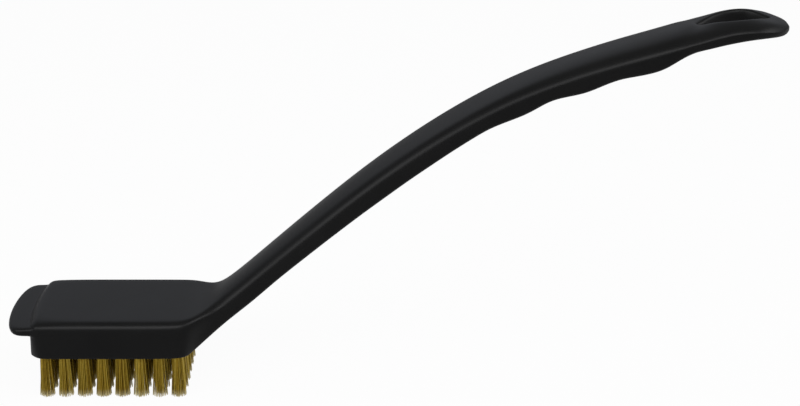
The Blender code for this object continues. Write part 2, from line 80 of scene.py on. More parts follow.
# Hanging eye at the end of the handle
END_WIDTH = 0.0265
END_THICKNESS = 0.0061
TIP_THICKNESS = 0.0037
END_EDGE = 0.0018
END_FOOT_EDGE = 0.0012
EYE_LENGTH = 0.024
EYE_LEAD = 0.004
EYE_WIDTH = 0.0128
EYE_RIM = 0.001
EYE_DIP = 0.0008
EYE_CREST = 0.001
EYE_TO_TIP = 0.0066

OVERALL = LIP_REACH + BLOCK_LENGTH + HANDLE_REACH
WALL_X = -OVERALL / 2 + LIP_REACH
HEEL_X = WALL_X + BLOCK_LENGTH
TIP_X = OVERALL / 2
EYE_END_X = TIP_X - EYE_TO_TIP
EYE_START_X = EYE_END_X - EYE_LENGTH
BLOCK_TOP_Z = UNDERSIDE_Z + BLOCK_HEIGHT
LIP_TOP_Z = BLOCK_TOP_Z - LIP_DROP
LIP_LOW_Z = LIP_TOP_Z - LIP_THICKNESS

# The columns beside a round edge stand this many times the edge in from the side, which keeps the
# face between them flat. The edges of a crowned top sink by a share of the crown
HOLD_SHARE = 2.41
CROWN_SINK_SHARE = 0.18

# Columns and levels of an end wall, from the front side to the rear one and from its top down
COLUMN_SHARES = (-1.0, -0.5, 0.0, 0.5, 1.0)
LEVEL_SHARES = (0.0, 0.5, 1.0)

# The slots of a section's sixteen points, each group from the front side to the rear one: along its
# top, at three heights of its sides, and along its underside
TOP_EDGE_SLOTS, TOP_SLOTS = (0, 4), (1, 2, 3)
HIGH_SIDE_SLOTS, MIDDLE_SIDE_SLOTS, LOW_SIDE_SLOTS = (15, 5), (14, 6), (13, 7)
FOOT_EDGE_SLOTS, FOOT_SLOTS = (12, 8), (11, 10, 9)
TOP_MIDDLE, FOOT_MIDDLE = TOP_SLOTS[1], FOOT_SLOTS[1]

# Where the block's plan corners start on the front wall and end on the sides, as shares of
# BLOCK_CORNER: at the block's sides, at its top and at its foot
CORNER_SIDE_SHARES = (0.38, 0.35)
CORNER_TOP_SHARES = (0.55, 0.35)
CORNER_FOOT_SHARES = (0.80, 0.57)

# Scraper lip: its ends on the block's corners and its own corners, as shares of LIP_CORNER, where its
# front edge bows, how far its faces are held in from the edge and its ends, and how far the edge thins
LIP_END_SHARES = (-0.03, 0.01)
LIP_CORNER_SHARES = (0.64, -0.30)
LIP_BOW_SHARE = 0.25
LIP_HELD_SHARE = 0.42
LIP_SIDE_SHARE = 0.92
LIP_ROUND_SHARE = 0.08

# Shoulder, as shares of its length: where a section stands, its slope in degrees, the shares of the
# way from the block's width to the neck's at its top and at its foot, and how far its foot lies along
# the heel's slope
SHOULDER_SHARES = (
    (0.00, 0.0, 0.00, 0.00, None),
    (0.20, 2.5, 0.05, 0.12, None),
    (0.38, 12.5, 0.34, 0.55, 0.0),
    (0.55, 26.0, 0.72, 0.88, 0.458),
    (0.73, 38.2, 0.95, 0.99, 0.786),
    (1.00, 41.5, 1.00, 1.00, 1.152),
)

# Handle from the shoulder to the eye: share of that run, slope in degrees, thickness as a share of
# the grip's, the share of the way from the neck's width to the end's, and the crown as a share
GRIP_SHARES = (
    (0.05, 41.2, 0.97, 0.00, 0.55),
    (0.10, 41.0, 0.985, 0.14, 0.56),
    (0.155, 40.6, 1.00, 0.28, 0.56),
    (0.21, 40.0, 1.02, 0.38, 0.55),
    (0.26, 39.0, 1.035, 0.48, 0.54),
    (0.31, 37.5, 1.05, 0.57, 0.52),
    (0.36, 35.9, 1.03, 0.65, 0.49),
    (0.41, 34.4, 1.025, 0.70, 0.45),
    (0.455, 32.8, 0.99, 0.72, 0.43),
    (0.50, 31.1, 0.965, 0.73, 0.42),
    (0.54, 29.5, 0.925, 0.74, 0.44),
    (0.58, 27.6, 1.01, 0.74, 0.48),
    (0.63, 24.6, 1.10, 0.75, 0.55),
    (0.68, 21.8, 0.905, 0.76, 0.63),
    (0.72, 20.2, 1.02, 0.78, 0.70),
    (0.76, 19.0, 1.13, 0.82, 0.76),
    (0.80, 18.0, 1.03, 0.86, 0.82),
    (0.84, 17.0, 0.97, 0.90, 0.87),
    (0.88, 15.8, 1.08, 0.94, 0.92),
    (0.93, 16.0, 1.12, 0.98, 0.96),
    (0.965, 16.6, 0.87, 1.00, 1.00),
    (1.00, 17.3, 0.715, 1.00, 1.00),
)
NECK_CROWN_SHARE = 0.55

# Sections round the eye, as shares of its length: place, slope in degrees, and the eye's half width
# and the crown as shares; the first and the last are the eye's two ends
EYE_SHARES = (
    (0.00, 16.0, 0.00, 1.00),
    (0.20, 15.0, 0.52, 1.00),
    (0.40, 11.5, 0.90, 1.00),
    (0.60, 4.5, 1.00, 1.00),
    (0.80, -3.8, 0.76, 0.88),
    (1.00, -8.0, 0.00, 0.72),
)

# How far apart the columns stand at the eye's two ends, how far out the crest stands beside them, and
# where the end starts to thin out
EYE_END_SPREAD_SHARE = 0.12
EYE_CREST_SHARE = 0.86
THINNING_SHARE = 0.5

# Rings of the eye's wall: how deep they lie, and how far they stand in from its rims
EYE_WALL_SHARES = ((0.14, 0.65), (0.78, 1.00))
TIP_SLOPE = -22.0

# The last section before the tip: how far back it stands, and how thick and how crowned it is. The
# tip's own width is taken a little before it, and its levels are measured from that section's top
TIP_PLACE_SHARE = 0.45
TIP_THICKNESS_SHARE = 1.1
TIP_WIDTH_SHARE = 0.06
TIP_CROWN_SHARE = 0.5
TIP_LEVEL_SHARES = (0.36, 0.60, 0.82)
ROUNDING_LEVELS = 3
SAME_PLACE = 0.000002


def rise(run, slope, next_slope):
    """Height gained along a run whose slope goes evenly from one angle in degrees to the next."""
    return run * (math.tan(math.radians(slope)) + math.tan(math.radians(next_slope))) / 2


def section(top, foot, half, edge, foot_edge, draft=0.0, column=None, crown=0.0):
    """Sixteen points round one section: five along the top, three down the rear side, five back along
    the underside and three up the front side. top and foot are its two middle points, column is where
    the points beside them stand, and crown is how far the middle of the top rises over its edges."""
    down = (foot - top).normalized()
    low = half - draft
    brow = top + down * crown * CROWN_SINK_SHARE
    upper_column = column or half - edge * HOLD_SHARE
    lower_column = column or low / 2

    def at(point, y):
        return Vector((point.x, y, point.z))

    rear = [
        at(brow + down * edge, half),
        at((top + foot) / 2, (half + low) / 2),
        at(foot - down * foot_edge, low),
    ]
    upper = [at(brow, edge - half)]
    for y in (-upper_column, 0.0, upper_column):
        upper.append(at(brow - down * crown * (1 - (y / half) ** 2), y))
    upper.append(at(brow, half - edge))
    lower = [at(foot, y) for y in (low - foot_edge, lower_column, 0.0, -lower_column, foot_edge - low)]
    front = [at(point, -point.y) for point in reversed(rear)]
    return upper + rear + lower + front


def wall_x(y, depth_share=0.0):
    """The block's front wall bows out in the middle, most at its top, and leans back to its foot."""
    bow = WALL_BOW + (WALL_FOOT_BOW - WALL_BOW) * depth_share
    return WALL_X + bow * (y / (BLOCK_WIDTH / 2)) ** 2 + WALL_LEAN * depth_share


def block_sections():
    """The block's sections behind its front wall. The first stands on the wall where its plan corners
    start, and the second on its sides where they end."""
    half = BLOCK_WIDTH / 2
    hold = BLOCK_TOP_EDGE * HOLD_SHARE
    found = []
    for x in (WALL_X, WALL_X + hold, WALL_X + WALL_BOW + BLOCK_CORNER, WALL_X + BLOCK_LENGTH / 2):
        top = Vector((x, 0.0, BLOCK_TOP_Z))
        foot = Vector((x, 0.0, UNDERSIDE_Z))
        points = section(top, foot, half, BLOCK_TOP_EDGE, BLOCK_BOTTOM_EDGE, BLOCK_DRAFT)
        for slot in MIDDLE_SIDE_SLOTS:
            points[slot].z = LIP_LOW_Z - LIP_ROOT
        found.append(points)
    first, second = found[:2]
    for points, back in ((first, BLOCK_TOP_EDGE), (second, hold)):
        for slot in TOP_SLOTS:
            points[slot].y = (slot - TOP_MIDDLE) * (half - BLOCK_CORNER) / 2
            points[slot].x = wall_x(points[slot].y) + back
    for slot in FOOT_SLOTS:
        first[slot].y = (FOOT_MIDDLE - slot) * (half - BLOCK_CORNER) / 2
        first[slot].x = wall_x(first[slot].y, 1.0) + BLOCK_BOTTOM_EDGE
    for slots, depth_share, shares, back in (
        (TOP_EDGE_SLOTS, 0.0, CORNER_TOP_SHARES, BLOCK_TOP_EDGE),
        (HIGH_SIDE_SLOTS, 0.0, CORNER_SIDE_SHARES, 0.0),
        (MIDDLE_SIDE_SLOTS, 0.5, CORNER_SIDE_SHARES, 0.0),
        (LOW_SIDE_SLOTS, 1.0, CORNER_FOOT_SHARES, 0.0),
        (FOOT_EDGE_SLOTS, 1.0, CORNER_FOOT_SHARES, BLOCK_BOTTOM_EDGE),
    ):
        across, along = (BLOCK_CORNER * share for share in shares)
        for slot in slots:
            side = math.copysign(half, first[slot].y)
            first[slot].y = math.copysign(half - across, first[slot].y)
            first[slot].x = wall_x(first[slot].y, depth_share) + back
            second[slot].x = wall_x(side, depth_share) + along
    return found


def shoulder_sections():
    """From the block's full width down to the neck, with the heel under it. Returns the last top too."""
    start = HEEL_X - SHOULDER_LEAD
    block_half, neck_half = BLOCK_WIDTH / 2, NECK_WIDTH / 2
    found = []
    top = Vector((start, 0.0, BLOCK_TOP_Z))
    last_slope = 0.0
    for along, slope, narrowing, foot_narrowing, foot_share in SHOULDER_SHARES:
        x = start + SHOULDER_LENGTH * along
        top = Vector((x, 0.0, top.z + rise(x - top.x, last_slope, slope)))
        last_slope = slope
        if foot_share is None:
            foot = Vector((x, 0.0, UNDERSIDE_Z))
        else:
            run = SHOULDER_LENGTH * foot_share
            along_heel = Vector((math.cos(HEEL_SLOPE), 0.0, math.sin(HEEL_SLOPE)))
            foot = Vector((HEEL_X, 0.0, UNDERSIDE_Z)) + along_heel * run
        half = block_half + (neck_half - block_half) * narrowing
        edge = BLOCK_TOP_EDGE + (HANDLE_EDGE - BLOCK_TOP_EDGE) * narrowing
        foot_edge = BLOCK_BOTTOM_EDGE + (HANDLE_FOOT_EDGE - BLOCK_BOTTOM_EDGE) * narrowing
        low_half = block_half - BLOCK_DRAFT
        low_half += (neck_half - low_half) * foot_narrowing
        crown = HANDLE_CROWN * NECK_CROWN_SHARE * narrowing**2
        found.append(section(top, foot, half, edge, foot_edge, half - low_half, crown=crown))
    return found, top, last_slope


def below(top, slope, thickness):
    angle = math.radians(slope)
    return top + Vector((math.sin(angle), 0.0, -math.cos(angle))) * thickness


def grip_sections(top, last_slope):
    """Along the neck and the finger grip to the start of the eye."""
    start_x = top.x
    run = EYE_START_X - EYE_LEAD - start_x
    found = []
    for along, slope, thickness_share, widening, crown_share in GRIP_SHARES:
        x = start_x + run * along
        top = Vector((x, 0.0, top.z + rise(x - top.x, last_slope, slope)))
        last_slope = slope
        half = (NECK_WIDTH + (END_WIDTH - NECK_WIDTH) * widening) / 2
        foot = below(top, slope, GRIP_THICKNESS * thickness_share)
        crown = HANDLE_CROWN * crown_share
        found.append(section(top, foot, half, HANDLE_EDGE, HANDLE_FOOT_EDGE, crown=crown))
    return found, top, last_slope


def end_half_width(x):
    """Half the width of the round end, which is a half circle in plan."""
    radius = END_WIDTH / 2
    past = max(0.0, x - (TIP_X - radius))
    return math.sqrt(max(0.0, radius**2 - past**2))


def eye_sections(top, last_slope):
    """Round the eye, where the middle columns stand on the rim, and on to the round tip."""
    found = []
    for along, slope, opening, crown_share in EYE_SHARES:
        x = EYE_START_X + EYE_LENGTH * along
        top = Vector((x, 0.0, top.z + rise(x - top.x, last_slope, slope)))
        last_slope = slope
        thickness = END_THICKNESS + (TIP_THICKNESS - END_THICKNESS) * max(0.0, along - THINNING_SHARE)
        foot = below(top, slope, thickness)
        half = end_half_width(x)
        rim = opening * EYE_WIDTH / 2 + EYE_RIM
        crown = HANDLE_CROWN * crown_share
        points = section(top, foot, half, END_EDGE, END_FOOT_EDGE, column=rim, crown=crown)
        if opening == 0.0:
            inward = 1 if along == 0.0 else -1
            for slot in TOP_SLOTS + FOOT_SLOTS:
                if slot in (TOP_MIDDLE, FOOT_MIDDLE):
                    points[slot].x -= inward * EYE_RIM
                else:
                    points[slot].x += inward * EYE_RIM
                    points[slot].y = math.copysign(EYE_WIDTH * EYE_END_SPREAD_SHARE, points[slot].y)
            for slot in TOP_SLOTS:
                points[slot].z -= EYE_DIP
            for slot in TOP_EDGE_SLOTS:
                points[slot].y *= EYE_CREST_SHARE
                points[slot].z += EYE_CREST
        found.append(points)
    x = TIP_X - EYE_TO_TIP * TIP_PLACE_SHARE
    top = Vector((x, 0.0, top.z + rise(x - top.x, last_slope, TIP_SLOPE)))
    foot = Vector((x, 0.0, top.z - TIP_THICKNESS * TIP_THICKNESS_SHARE))
    half, crown = end_half_width(x), HANDLE_CROWN * TIP_CROWN_SHARE
    found.append(section(top, foot, half, END_EDGE, END_FOOT_EDGE, column=half / 2, crown=crown))
    return found


def deselect_all():
    if bpy.context.object and bpy.context.object.mode == "EDIT":
        bpy.ops.mesh.select_all(action="DESELECT")
    else:
        bpy.ops.object.select_all(action="DESELECT")


def nearest(verts, place):
    return min(verts, key=lambda vert: (vert.co - place).length_squared)


def carry(places, targets):
    """Takes the selected vert nearest each place to its target."""
    shape = bmesh.from_edit_mesh(bpy.context.object.data)
    chosen = [vert for vert in shape.verts if vert.select]
    moves = [(nearest(chosen, place), target) for place, target in zip(places, targets)]
    for vert, target in moves:
        vert.co = target
    bmesh.update_edit_mesh(bpy.context.object.data)


def extrude_to(places, targets):
    """Extrudes the selected faces and takes their verts to new places."""
    bpy.ops.mesh.extrude_region_move()
    carry(places, targets)


def select_faces(wanted):
    """Selects the faces for which wanted(face) is true, and nothing else."""
    deselect_all()
    shape = bmesh.from_edit_mesh(bpy.context.object.data)
    for face in shape.faces:
        if wanted(face):
            face.select_set(True)
    shape.select_flush(True)
    bmesh.update_edit_mesh(bpy.context.object.data)


def stands_on(face, places):
    """True if each of the face's verts is at one of these places."""
    return all(min((vert.co - place).length for place in places) < SAME_PLACE for vert in face.verts)


def close_end(ring, half, levels, end_x):
    """Extrudes the cap on a ring into an end wall of five columns and three levels, whose height is in
    levels and whose x is end_x(y, share of the way down). Returns the wall's points by column."""
    columns = [half * share for share in COLUMN_SHARES]

    def place(y, level):
        return Vector((end_x(y, LEVEL_SHARES[level]), y, levels[level]))

    upper = [place(y, 0) for y in columns]
    lower = [place(y, 2) for y in reversed(columns)]
    rear = [place(half, level) for level in range(3)]
    front = [place(-half, level) for level in (2, 1, 0)]
    select_faces(lambda face: len(face.verts) == len(ring) and stands_on(face, ring))
    extrude_to(ring, upper + rear + lower + front)
    bpy.ops.mesh.remove_doubles(threshold=SAME_PLACE)
    bpy.ops.mesh.delete(type="ONLY_FACE")
    shape = bmesh.from_edit_mesh(bpy.context.object.data)
    outline = upper + rear[1:2] + lower + front[1:2]
    rim = [nearest(shape.verts, point) for point in outline]
    deselect_all()
    for a, b in zip(rim, rim[1:] + rim[:1]):
        shape.edges.get((a, b)).select_set(True)
    shape.select_history.clear()
    shape.select_history.add(rim[0])
    bmesh.update_edit_mesh(bpy.context.object.data)
    bpy.ops.mesh.fill_grid(span=len(COLUMN_SHARES) - 1)
    halfway = [(high + low) / 2 for high, low in zip(upper[1:-1], lower[-2:0:-1])]
    carry(halfway, [place(y, 1) for y in columns[1:-1]])
    return [[place(y, level) for level in range(3)] for y in columns]


def lip_outlines():
    """Plan points from the lip's front side to its rear: round its root, held in from its edge, and
    along its edge."""
    half = LIP_WIDTH / 2
    tip = WALL_X - LIP_REACH
    along_share, across_share = LIP_CORNER_SHARES
    end_along_share, end_across_share = LIP_END_SHARES
    end_y = half + LIP_CORNER * end_across_share
    edge = [
        (wall_x(end_y) + LIP_CORNER * end_along_share, -end_y),
        (tip + LIP_CORNER * along_share, -half + LIP_CORNER * across_share),
        (tip + LIP_BOW * LIP_BOW_SHARE, -half / 2),
        (tip, 0.0),
    ]
    edge += [(x, -y) for x, y in reversed(edge[:-1])]
    held = [(x + (WALL_X - x) * LIP_HELD_SHARE, y * LIP_SIDE_SHARE) for x, y in edge]
    columns = [(half - BLOCK_CORNER) * share for share in COLUMN_SHARES]
    root = [held[0], *((wall_x(y) - LIP_ROOT, y) for y in columns), held[-1]]
    return root, held, edge


def pull_out_lip(rings, wall):
    """Extrudes the upper band of the wall three times. Its ends stay on the block's plan corners."""
    start, end = rings[:2]

    def band(slots, level):
        front, rear = slots
        return [end[front], start[front], *(column[level] for column in wall), start[rear], end[rear]]

    upper, lower = band(HIGH_SIDE_SLOTS, 0), band(MIDDLE_SIDE_SLOTS, 1)
    select_faces(lambda face: stands_on(face, upper + lower))
    root, held, edge = lip_outlines()
    rounding = LIP_THICKNESS * LIP_ROUND_SHARE
    for path, top_z, low_z in (
        (root, LIP_TOP_Z, LIP_LOW_Z),
        (held, LIP_TOP_Z, LIP_LOW_Z),
        (edge, LIP_TOP_Z - rounding, LIP_LOW_Z + rounding),
    ):
        new_upper = [upper[0], *(Vector((x, y, top_z)) for x, y in path), upper[-1]]
        new_lower = [lower[0], *(Vector((x, y, low_z)) for x, y in path), lower[-1]]
        extrude_to(upper + lower, new_upper + new_lower)
        upper, lower = new_upper, new_lower
    bpy.ops.mesh.select_all(action="SELECT")
    bpy.ops.mesh.remove_doubles(threshold=SAME_PLACE)


def open_eye(rings):
    """Deletes the faces inside the rims, bridges the two rims and draws the wall between them in."""
    there = [[ring[slot] for ring in rings] for slot in TOP_SLOTS + FOOT_SLOTS]
    inside = [point for path in there for point in path]
    select_faces(lambda face: stands_on(face, inside))
    bpy.ops.mesh.delete(type="FACE")

    def loop(front, middle, rear):
        return front + [middle[-1]] + rear[::-1] + [middle[0]]

    upper, lower = loop(*there[:3]), loop(*there[3:])
    shape = bmesh.from_edit_mesh(bpy.context.object.data)
    deselect_all()
    for edge in shape.edges:
        if edge.is_boundary:
            edge.select_set(True)
    bmesh.update_edit_mesh(bpy.context.object.data)
    bpy.ops.mesh.bridge_edge_loops(number_cuts=len(EYE_WALL_SHARES), interpolation="LINEAR")
    bpy.ops.mesh.select_all(action="SELECT")
    centre = sum(upper, Vector()) / len(upper)
    for cut, (depth, inward) in enumerate(EYE_WALL_SHARES):
        even = (cut + 1) / (len(EYE_WALL_SHARES) + 1)
        places, targets = [], []
        for high, low in zip(upper, lower):
            outward = Vector((high.x - centre.x, high.y, 0.0)).normalized()
            places.append(high.lerp(low, even))
            targets.append(high.lerp(low, depth) - outward * EYE_RIM * inward)
        carry(places, targets)


def draw_handle_cage():
    """The moulding's control cage, from a sixteen-sided face extruded through every section."""
    rings = block_sections()
    shoulder, top, slope = shoulder_sections()
    grip, top, slope = grip_sections(top, slope)
    rings += shoulder + grip + eye_sections(top, slope)
    bpy.ops.object.select_all(action="DESELECT")
    bpy.ops.mesh.primitive_circle_add(
        vertices=len(rings[0]), radius=BLOCK_WIDTH / 2, fill_type="NGON", enter_editmode=True
    )
    shape = bmesh.from_edit_mesh(bpy.context.object.data)
    shape.verts.ensure_lookup_table()
    carry([vert.co.copy() for vert in shape.verts], rings[0])
    for ring, following in zip(rings, rings[1:]):
        extrude_to(ring, following)
    last = rings[-1]
    tip_top, tip_foot = last[TOP_MIDDLE].z, last[FOOT_MIDDLE].z
    tip_levels = [tip_top + (tip_foot - tip_top) * share for share in TIP_LEVEL_SHARES]
    tip_half = end_half_width(TIP_X - EYE_TO_TIP * TIP_WIDTH_SHARE)
    close_end(last, tip_half, tip_levels, lambda _y, _share: TIP_X)
    wall_levels = (BLOCK_TOP_Z - BLOCK_TOP_EDGE, LIP_LOW_Z - LIP_ROOT, UNDERSIDE_Z + BLOCK_BOTTOM_EDGE)
    wall = close_end(rings[0], BLOCK_WIDTH / 2 - BLOCK_CORNER, wall_levels, wall_x)
    open_eye(rings[-1 - len(EYE_SHARES) : -1])
    pull_out_lip(rings, wall)
    bpy.ops.mesh.select_all(action="SELECT")
    bpy.ops.mesh.normals_make_consistent(inside=False)
    bpy.ops.object.mode_set(mode="OBJECT")
    bpy.context.object.name = "moulding"
    return bpy.context.object


moulding = draw_handle_cage()
rounding = moulding.modifiers.new("rounding", "SUBSURF")
rounding.levels = rounding.render_levels = ROUNDING_LEVELS
bpy.ops.object.modifier_apply(modifier=rounding.name)

# The 48 blind holes, which are drilled into the block's underside after moulding. One drill is
# shaped and repeated in rows and columns, and cut out of the block.
TUFT_COLUMNS, TUFT_ROWS = 8, 6
FRONT_INSET, HEEL_INSET, SIDE_INSET = 0.0056, 0.0051, 0.00545
HOLE_RADIUS, HOLE_DEPTH = 0.0019, 0.0085
HOLE_MOUTH = 0.00012
DRILL_SIDES = 28
DRILL_START = 0.001
HOLE_EDGE_ANGLE = math.radians(38)
COLUMN_PITCH = (BLOCK_LENGTH - FRONT_INSET - HEEL_INSET) / (TUFT_COLUMNS - 1)
ROW_PITCH = (BLOCK_WIDTH - SIDE_INSET * 2) / (TUFT_ROWS - 1)
FIRST_TUFT = Vector((WALL_X + FRONT_INSET, SIDE_INSET - BLOCK_WIDTH / 2, 0.0))


def drill():
    """A cylinder whose lower end flares where it leaves the block, which breaks the hole's edge."""
    bpy.ops.object.select_all(action="DESELECT")
    bpy.ops.mesh.primitive_cylinder_add(
        vertices=DRILL_SIDES,
        radius=HOLE_RADIUS,
        depth=HOLE_DEPTH - HOLE_MOUTH,
        location=FIRST_TUFT + Vector((0.0, 0.0, UNDERSIDE_Z + (HOLE_DEPTH + HOLE_MOUTH) / 2)),
    )
    bpy.ops.object.transform_apply(location=True, rotation=True, scale=True)
    bpy.ops.object.mode_set(mode="EDIT")
    mouth_z = UNDERSIDE_Z + HOLE_MOUTH
    select_faces(lambda face: face.calc_center_median().z < mouth_z + SAME_PLACE)
    flare = (HOLE_RADIUS + HOLE_MOUTH + DRILL_START) / HOLE_RADIUS
    bpy.ops.mesh.extrude_region_move(TRANSFORM_OT_translate={"value": (0, 0, -HOLE_MOUTH - DRILL_START)})
    centre = FIRST_TUFT + Vector((0.0, 0.0, UNDERSIDE_Z - DRILL_START))
    bpy.ops.transform.resize(value=(flare, flare, 1), center_override=centre)
    bpy.ops.object.mode_set(mode="OBJECT")
    cutter = bpy.context.object
    for axis, count, pitch in ((0, TUFT_COLUMNS, COLUMN_PITCH), (1, TUFT_ROWS, ROW_PITCH)):
        repeat = cutter.modifiers.new("repeat", "ARRAY")
        repeat.count = count
        repeat.use_relative_offset = False
        repeat.use_constant_offset = True
        repeat.constant_offset_displace = [pitch if k == axis else 0.0 for k in range(3)]
        bpy.ops.object.modifier_apply(modifier=repeat.name)
    return cutter


cutter = drill()
deselect_all()
moulding.select_set(True)
bpy.context.view_layer.objects.active = moulding
holes = moulding.modifiers.new("holes", "BOOLEAN")
holes.operation = "DIFFERENCE"
holes.solver = "EXACT"
holes.object = cutter
bpy.ops.object.modifier_apply(modifier=holes.name)
bpy.data.objects.remove(cutter, do_unlink=True)
bpy.ops.object.shade_smooth_by_angle(angle=HOLE_EDGE_ANGLE)
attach(moulding, "root")
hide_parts("handle")

# The plastic is black polypropylene from a spark-eroded mould. Its grain is about 0.3 mm across, and
# its sheen and its shade drift a little along the moulding.
PLASTIC_DARK, PLASTIC_LIGHT = (0.0020, 0.0020, 0.0020), (0.0030, 0.0030, 0.0030)
PLASTIC_SPECULAR = 0.09
PLASTIC_ROUGHNESS, DRIFT_ROUGHNESS, GRAIN_ROUGHNESS = 0.33, 0.08, 0.04
GRAIN_SCALE, GRAIN_STRENGTH, GRAIN_HEIGHT = 3600.0, 0.25, 0.00002
DRIFT_SCALE, DRIFT_FROM, DRIFT_TO = 55.0, 0.3, 0.7


class Signal:
    """A shader socket that takes part in sums. Each operator adds its Math node."""

    def __init__(self, tree, socket):
        self.tree, self.socket = tree, socket

    def math(self, operation, *values):
        return node(self.tree, "ShaderNodeMath", {"operation": operation}, dict(enumerate(values)))[0]

    def __add__(self, other):
        return self.math("ADD", self, other)

    def __mul__(self, other):
        return self.math("MULTIPLY", self, other)

    __radd__, __rmul__ = __add__, __mul__


def node(tree, kind, settings=None, sockets=None):
    """Adds a node, sets it up, and gives its output sockets as signals."""
    made = tree.nodes.new(kind)
    for name, value in (settings or {}).items():
        if name == "stops":
            fill_ramp(made.color_ramp, value)
        else:
            setattr(made, name, value)
    for name, value in (sockets or {}).items():
        if isinstance(value, Signal):
            tree.links.new(value.socket, made.inputs[name])
        else:
            made.inputs[name].default_value = value
    return [Signal(tree, socket) for socket in made.outputs]


def fill_ramp(blank, stops):
    while len(blank.elements) < len(stops):
        blank.elements.new(1.0)
    for element, (place, colour) in zip(blank.elements, stops):
        element.position, element.color = place, (*colour, 1.0)


def new_finish(name):
    made = bpy.data.materials.new(name)
    made.use_nodes = True
    return made, made.node_tree, made.node_tree.nodes["Principled BSDF"]


def object_place(tree):
    """A point's place on the object, in metres."""
    return node(tree, "ShaderNodeTexCoord")[3]


def noise(tree, place, scale, detail=2.0):
    return node(tree, "ShaderNodeTexNoise", None, {"Vector": place, "Scale": scale, "Detail": detail})[0]


def ramp(tree, stops, value):
    return node(tree, "ShaderNodeValToRGB", {"stops": stops}, {"Fac": value})[0]


def black_plastic():
    made, tree, shader = new_finish("black_plastic")
    shader.inputs["Specular IOR Level"].default_value = PLASTIC_SPECULAR
    place = object_place(tree)
    grain = noise(tree, place, GRAIN_SCALE)
    drift = noise(tree, place, DRIFT_SCALE, detail=3.0)
    rough = PLASTIC_ROUGHNESS + drift * DRIFT_ROUGHNESS + grain * GRAIN_ROUGHNESS
    tree.links.new(rough.socket, shader.inputs["Roughness"])
    shade = ramp(tree, ((DRIFT_FROM, PLASTIC_DARK), (DRIFT_TO, PLASTIC_LIGHT)), drift)
    tree.links.new(shade.socket, shader.inputs["Base Color"])
    dents = {"Height": grain, "Strength": GRAIN_STRENGTH, "Distance": GRAIN_HEIGHT}
    bump = node(tree, "ShaderNodeBump", None, dents)[0]
    tree.links.new(bump.socket, shader.inputs["Normal"])
    return made


moulding.data.materials.clear()
moulding.data.materials.append(black_plastic())

# The tufts. Each is a bundle of straight brass wires, bent double over a flat staple that is driven
# into the bottom of the hole, so that both legs of each wire stand out of the block. The free ends
# spread, and are trimmed level. Rows and columns are numbered from the front left.

# Wires: how they stand in the hole and over the staple, how their legs spread and bow, and how their
# ends are cut. WIRES_IN_ROWS gives each row's distance from the tuft's middle, in wire pitches, and how
# many wires are nested in it. Each row stands on both sides of the middle
WIRE_RADIUS = 0.00017
WIRE_PITCH = 0.00036
BEND_PITCH = 0.0003
WIDEST_ROW = 5
WIRES_IN_ROWS = ((0.5, WIDEST_ROW), (1.5, WIDEST_ROW), (2.5, 4), (3.5, 3), (4.5, 1))
TIP_SPREAD = 1.5
TIP_JITTER = 0.00009
TIP_UNEVENNESS = 0.0002
TIP_START_Z = 0.00003
MOUTH_JITTER = 0.00003
BOW_Z, BOW, BOW_INWARD_SHARE = 0.0068, 0.00008, 0.06
CUT_LENGTH, CUT_TAPER = 0.0003, 0.72
WIRE_EDGE_ANGLE = math.radians(50)
TUFT_TURN = math.radians(7)
TUFT_SEED = 48

# Tones: a wire in the outer layers may get a painted sheen, a bright colour that stands in for the white
# surroundings it reflects, and any other has a tone between 0 and HIGHEST_TONE. The finish takes any
# tone above the sheen limit as a painted sheen
SHEEN_LAYER, SHEEN_SHARE = 3, 0.5
HIGHEST_TONE, SHEEN_LIMIT, SHEEN_TONE = 0.8, 0.95, 1.0

# Staple, and how round the wires bend over it
STAPLE_THICKNESS, STAPLE_HEIGHT = 0.0004, 0.0014
STAPLE_LENGTH, STAPLE_BEVEL = 0.0036, 0.00008
STAPLE_DEPTH = 0.0066
STAPLE_TOP_Z = UNDERSIDE_Z + STAPLE_DEPTH
BEND_CORNER = 0.0003


def free_leg(mouth, chance):
    """The places of one leg from its cut tip up to the mouth of the hole."""
    tip = Vector((mouth.x * TIP_SPREAD, mouth.y * TIP_SPREAD, 0.0))
    tip += Vector((chance.uniform(-1, 1), chance.uniform(-1, 1), 0.0)) * TIP_JITTER
    tip.z = TIP_START_Z + TIP_UNEVENNESS * chance.random() ** 2
    bow = tip.lerp(mouth, BOW_Z / UNDERSIDE_Z)
    bow += Vector((chance.uniform(-1, 1), chance.uniform(-1, 1), 0.0)) * BOW
    bow.xy -= mouth.xy * BOW_INWARD_SHARE
    shoulder = tip.lerp(bow, CUT_LENGTH / BOW_Z)
    return [tip, shoulder, bow, mouth]


def bent_wire(row, layer, side, chance):
    """Places along one wire: a leg, the bend over the staple, and the other leg back down."""
    legs = []
    for way in (-1, 1):
        mouth = Vector((way * (layer + 0.5) * WIRE_PITCH, side * row * WIRE_PITCH, UNDERSIDE_Z))
        mouth += Vector((chance.uniform(-1, 1), chance.uniform(-1, 1), 0.0)) * MOUTH_JITTER
        legs.append(free_leg(mouth, chance))
    reach = STAPLE_THICKNESS / 2 + WIRE_RADIUS + layer * BEND_PITCH
    top = STAPLE_TOP_Z + WIRE_RADIUS + layer * BEND_PITCH
    y = side * row * BEND_PITCH
    bend = [Vector((-reach, y, top - BEND_CORNER)), Vector((-reach + BEND_CORNER, y, top))]
    back = [Vector((-point.x, point.y, point.z)) for point in reversed(bend)]
    return legs[0] + bend + back + legs[1][::-1]


